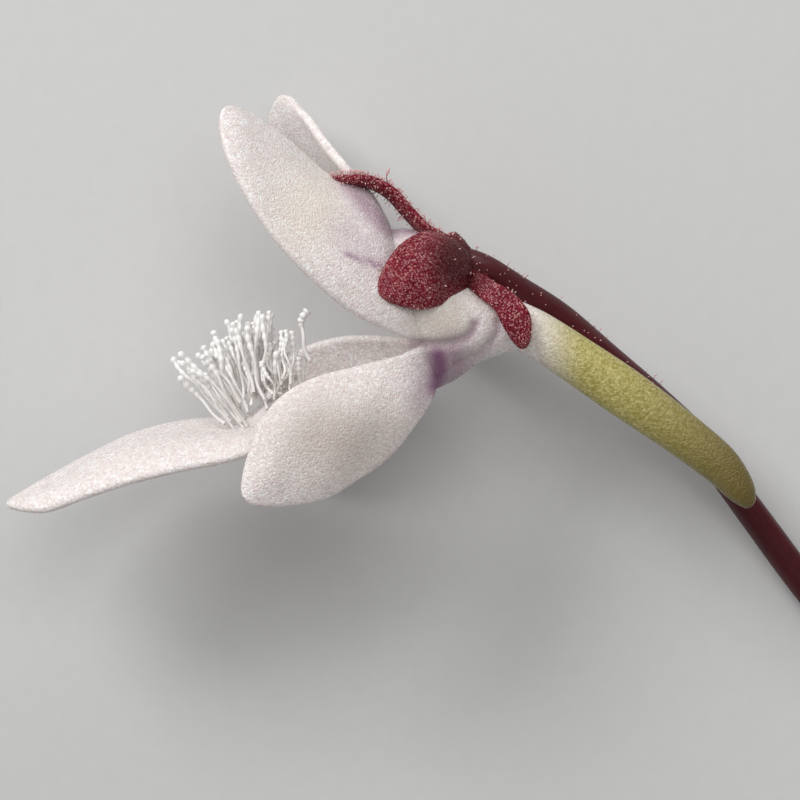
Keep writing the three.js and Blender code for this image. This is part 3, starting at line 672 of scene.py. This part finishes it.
def makeStalk():
    t = np.linspace(0, 1, stalk["rows"])
    path = splineAt(stalk["line"], t)
    side, other = rodFrames(path)
    turn = np.linspace(0, 2 * math.pi, stalk["around"], endpoint=False)
    swell = 1 + 0.02 * np.sin(23 * t)[:, None] + 0.015 * np.cos(5 * turn + 6 * t[:, None])
    radius = stalk["radius"] * swell * (1 + 0.25 * (1 - smooth(0.0, 0.15, t)))[:, None]
    spoke = side[:, None] * np.cos(turn)[None, :, None] + other[:, None] * np.sin(turn)[None, :, None]
    skin = path[:, None] + spoke * radius[..., None]
    cut = path[-1] + (skin[-1] - path[-1]) * np.array([0.97, 0.7, 0.35, 0.0])[:, None, None]
    skin = np.concatenate([skin, cut])
    runLength = np.concatenate([[0], np.cumsum(np.linalg.norm(np.diff(path, axis=0), axis=1))])
    run = np.repeat(np.append(runLength, [runLength[-1] + 0.1 * k for k in range(1, 5)])[:, None] / 0.35, stalk["around"], 1)
    turnMark = np.repeat(turn[None] * stalk["radius"] / 0.06, len(skin), 0)
    piece = addPiece("stalkSkin", [skin], stalkMaterial, {"run": [run], "turn": [turnMark]})
    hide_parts("flower_stalk")
    glandSites.append(("stalk", skin[:150], np.repeat(spoke[:150], 1, 0)))


makeStalk()
print("stalk made")


# ---- hairs

def hairTubes(foot, bend, head, radius, sides, curl=0.0):
    # Each hair is a curve from its foot past its bend to its head, swung by two slow waves, with rings of
    # the given radii along it.
    t = np.linspace(0, 1, radius.shape[-1])[None, :, None]
    path = (1 - t) ** 2 * foot[:, None] + 2 * t * (1 - t) * bend[:, None] + t ** 2 * head[:, None]
    chord = unit(head - foot)[:, None]
    side = unit(np.cross(chord, unit(np.array([0.3, 0.2, 1.0]))))
    phase = random.uniform(0, 2 * math.pi, (len(foot), 2, 1, 1))
    swing = curl * np.sin(math.pi * t)
    path = path + swing * (np.sin(7 * t + phase[:, 0]) * side + np.sin(9 * t + phase[:, 1]) * np.cross(chord, side))
    forward = unit(np.gradient(path, axis=1))
    side = unit(np.cross(forward, unit(np.array([0.3, 0.2, 1.0]))))[:, :, None]
    other = np.cross(forward[:, :, None], side)
    turn = np.linspace(0, 2 * math.pi, sides, endpoint=False)[:, None]
    return list(path[:, :, None] + (side * np.cos(turn) + other * np.sin(turn)) * radius[..., None, None])


palate = {
    "centre": [-4.15, -3.93, 0.1], "half": [1.1, 0.6, 1.15], "slope": [0.2, -0.2],
    "stem": 0.035, "head": 0.088, "sides": 8, "rings": 46, "curl": 0.05,
    # Tufts: how many hairs, the middle of their feet, of their heads, and how far both spread.
    "tufts": [
        [10, [-5.45, -3.95, 0.4], [-6.6, -2.5, 0.6], [0.22, 0.22, 0.3]],
        [2, [-5.8, -3.7, -0.9], [-7.15, -2.4, -1.2], [0.05, 0.1, 0.2]],
        [12, [-5.3, -3.6, 0.1], [-6.0, -1.95, 0.2], [0.22, 0.25, 0.6]],
        [18, [-5.0, -3.4, 0.2], [-5.3, -1.65, 0.2], [0.3, 0.25, 0.75]],
        [11, [-4.75, -3.1, 0.1], [-4.8, -1.3, 0.1], [0.22, 0.2, 0.7]],
        [14, [-4.35, -3.0, 0.3], [-4.4, -1.85, 0.3], [0.25, 0.22, 0.8]],
        [16, [-4.7, -3.2, 0.3], [-4.9, -2.4, 0.4], [0.45, 0.25, 0.8]],
        [12, [-4.1, -3.2, 0.2], [-4.1, -2.35, 0.2], [0.4, 0.2, 0.8]],
    ],
    "lone": [[-3.62, -2.45, 0.6], [-4.05, -1.62, 0.7], [-3.65, -1.2, 0.75]],
}


def makePalate():
    # The cushion: a dome with slow lumps, flat below, where it grows from the lip.
    turn = np.linspace(0, 2 * math.pi, 96, endpoint=False)
    rise = np.linspace(-math.pi / 2, math.pi / 2, 60)
    dome = np.stack([np.cos(rise)[:, None] * np.cos(turn), np.repeat(np.sin(rise)[:, None], 96, 1),
                     np.cos(rise)[:, None] * np.sin(turn)], -1)
    lumps = 1 + 0.04 * np.sin(7 * dome[..., 0] + 2) * np.cos(6 * dome[..., 2]) + 0.03 * np.sin(11 * dome[..., 2])
    flat = np.where(dome[..., 1:2] < 0, np.array([1, 0.1, 1]), 1.0)
    cushion = dome * flat * np.array(palate["half"]) * lumps[..., None]
    cushion[..., 1] += cushion[..., [0, 2]] @ np.array(palate["slope"])  # its base follows the slope of the lip
    cushion += np.array(palate["centre"])
    zero = np.zeros(cushion.shape[:2])
    piece = addPiece("palateCushion", [cushion], petalMaterial,
                     {mark: [zero] for mark in ("violetTintAndShade", "green", "olive", "creamTintAndHighlight", "paintedLowerLobeShade")})
    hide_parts("palate_hairs")
    feet, heads = [], []
    for count, foot, head, spread in palate["tufts"]:
        scatter = random.uniform(-1, 1, (count, 3)) * np.array(spread)
        feet.append(np.array(foot) + scatter + random.uniform(-0.12, 0.12, (count, 3)))
        heads.append(np.array(head) + scatter * 0.9 + random.uniform(-0.2, 0.2, (count, 3)))
    foot, head = np.concatenate(feet), np.concatenate(heads)
    bend = (foot + head) / 2 + random.normal(0, 0.16, foot.shape) + np.array([-0.05, 0, 0])
    foot, bend, head = (np.concatenate([a, [b]]) for a, b in zip((foot, bend, head), palate["lone"]))
    count = len(foot)
    t = np.linspace(0, 1, palate["rings"])
    beadRun = smooth(0.5, 0.72, t) * (1 - smooth(0.9, 0.93, t))
    stem = palate["stem"] * (1.2 - 0.35 * t) + 0.03 * beadRun * np.abs(np.sin(t * math.pi * 9)) + 0.016 * beadRun
    ball = palate["head"] * np.sqrt(np.clip(1 - ((t - 0.95) / 0.05) ** 2, 0, 1))
    radius = np.maximum(stem * (t < 0.96), ball)[None] * np.append(random.uniform(0.8, 1.15, count - 1), 1.35)[:, None]
    headMark = np.repeat(smooth(0.5, 0.9, t)[:, None], palate["sides"], 1)
    tubes = hairTubes(foot, bend, head, radius, palate["sides"], palate["curl"])
    piece = addPiece("palateHairTuft", tubes, hairMaterial, {"head": [headMark] * count})
    print("palate:", count, "hairs,", len(piece.data.polygons), "faces")


makePalate()


glandHair = {
    "length": 0.11, "stem": 0.0055,
    "count": {"cup": 160, "upperMiddle": 420, "upperLeft": 70, "upperRight": 70, "lowerLeft": 50, "lowerRight": 50,
              "stalk": 150},
    # one long pale hair on the upper middle sepal
    "long": [[-1.68, 1.96, 0.35], [-1.76, 2.15, 0.42], [-1.62, 2.36, 0.4]],
}


def makeGlandHairs():
    feet, ways = [], []
    for name, points, outward in glandSites:
        row = random.integers(2, len(points) - 6, glandHair["count"][name])
        column = random.integers(0, points.shape[1], glandHair["count"][name])
        feet.append(points[row, column])
        ways.append(outward[row, column])
    foot, way = np.concatenate(feet), unit(np.concatenate(ways))
    count = len(foot)
    length = glandHair["length"] * random.uniform(0.5, 1.5, count)[:, None]
    head = foot + unit(way + random.normal(0, 0.2, (count, 3))) * length
    foot = foot - way * 0.02
    bend = (foot + head) / 2 + random.normal(0, 0.012, (count, 3))
    foot, bend, head = (np.concatenate([a, [b]]) for a, b in zip((foot, bend, head), glandHair["long"]))
    radius = np.array([1.3, 1.0, 0.8, 0.8, 2.0, 2.9, 2.1, 0.0]) * glandHair["stem"]
    radius = radius[None] * np.append(random.uniform(0.8, 1.2, count), 2.6)[:, None]
    headMark = np.repeat(np.array([0, 0, 0, 0.3, 1, 1, 1, 1.0])[:, None], 5, 1)
    piece = addPiece("glandHairs", hairTubes(foot, bend, head, radius, 5), glandMaterial, {"head": [headMark] * len(foot)})


makeGlandHairs()
print("hairs made")


# ---- stamens and pistil, in the throat

def ballGrid(centre, half, rows=28, around=36):
    turn = np.linspace(0, 2 * math.pi, around, endpoint=False)
    rise = np.linspace(-math.pi / 2, math.pi / 2, rows)
    ball = np.stack([np.cos(rise)[:, None] * np.cos(turn), np.repeat(np.sin(rise)[:, None], around, 1),
                     np.cos(rise)[:, None] * np.sin(turn)], -1)
    return np.array(centre) + ball * np.array(half)


def makeThroatParts():
    filament = innerSkin("filamentTissue", "#efe9df", "#d9cfc4", 0.05)
    ovary = innerSkin("ovaryTissue", "#a9b874", "#7f9150", 0.06)
    for name, side in (("Left", 1), ("Right", -1)):
        path = np.array([[0.1, -1.2, 0.72 * side], [-0.45, -1.5, 0.45 * side], [-0.95, -1.55, 0.28 * side],
                         [-1.22, -1.32, 0.2 * side]])
        t = np.linspace(0, 1, 30)
        line = splineAt(path, t)
        across, other = rodFrames(line)
        turn = np.linspace(0, 2 * math.pi, 16, endpoint=False)[None, :, None]
        rod = line[:, None] + 0.09 * (across[:, None] * np.cos(turn) + other[:, None] * np.sin(turn))
        anther = ballGrid([-1.26, -1.34, 0.22 * side], [0.16, 0.12, 0.15], 28, 16)
        piece = addPiece("stamen" + name + "Skin", [rod, anther], filament)
        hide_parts("stamen_" + name.lower())
    grids = [ballGrid([-0.78, -0.78, 0], [0.4, 0.4, 0.4]), ballGrid([-1.22, -0.98, 0], [0.27, 0.165, 0.39])]
    piece = addPiece("pistilSkin", grids, ovary)
    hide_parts("pistil")


makeThroatParts()
print("stamens and pistil made")


# ---- floor, light and camera

def makeFloor():
    material, tree, place = newMaterial("mattPaper")
    grain = addNode(tree, "ShaderNodeTexNoise", {"Scale": perMetre(0.4)}, {"Vector": place})
    tone = mixColour(tree, grain.outputs["Fac"], "#cfcfce", "#d4d4d3")
    finishMaterial(tree, {"Roughness": 0.85}, {"Base Color": tone})
    mesh = bpy.data.meshes.new("floor")
    reach = 1.5
    mesh.from_pydata([(-reach, -reach, 0), (reach, -reach, 0), (reach, reach, 0), (-reach, reach, 0)], [], [(0, 1, 2, 3)])
    mesh.materials.append(material)
    floor = bpy.data.objects.new("floor", mesh)
    bpy.context.collection.objects.link(floor)


lamps = {
    # where, in millimetres from the flower, size and power
    "key": {"at": [-110, 120, 120], "size": 80, "power": 0.215},
    "overhead": {"at": [0, 60, 190], "size": 120, "power": 0.12},
    "rim": {"at": [80, 160, 50], "size": 70, "power": 0.06},
}


def makeLights():
    world = bpy.data.worlds.new("softRoom")
    world.use_nodes = True
    world.node_tree.nodes["Background"].inputs[0].default_value = colour("#e6e6e6")
    world.node_tree.nodes["Background"].inputs[1].default_value = 0.36
    bpy.context.scene.world = world
    for name, lamp in lamps.items():
        light = bpy.data.lights.new(name, "AREA")
        light.size = lamp["size"] * mm
        light.energy = lamp["power"]
        holder = bpy.data.objects.new(name, light)
        holder.location = np.array(lamp["at"]) * mm
        holder.rotation_euler = (-holder.location).to_track_quat("-Z", "Y").to_euler()
        bpy.context.collection.objects.link(holder)


shot = {"middle": [-1.375, -3.45], "width": 20.0, "lens": 400, "sensor": 36}


def makeCamera():
    camera = bpy.data.cameras.new("camera")
    camera.lens = shot["lens"]
    camera.sensor_width = shot["sensor"]
    camera.clip_start = 0.01
    holder = bpy.data.objects.new("camera", camera)
    distance = shot["width"] * shot["lens"] / shot["sensor"]
    holder.location = flowerOrigin + np.array([*shot["middle"], distance]) * mm
    bpy.context.collection.objects.link(holder)
    bpy.context.scene.camera = holder


makeFloor()
makeLights()
makeCamera()
bpy.context.scene.view_settings.view_transform = "Standard"

print("scene ready")
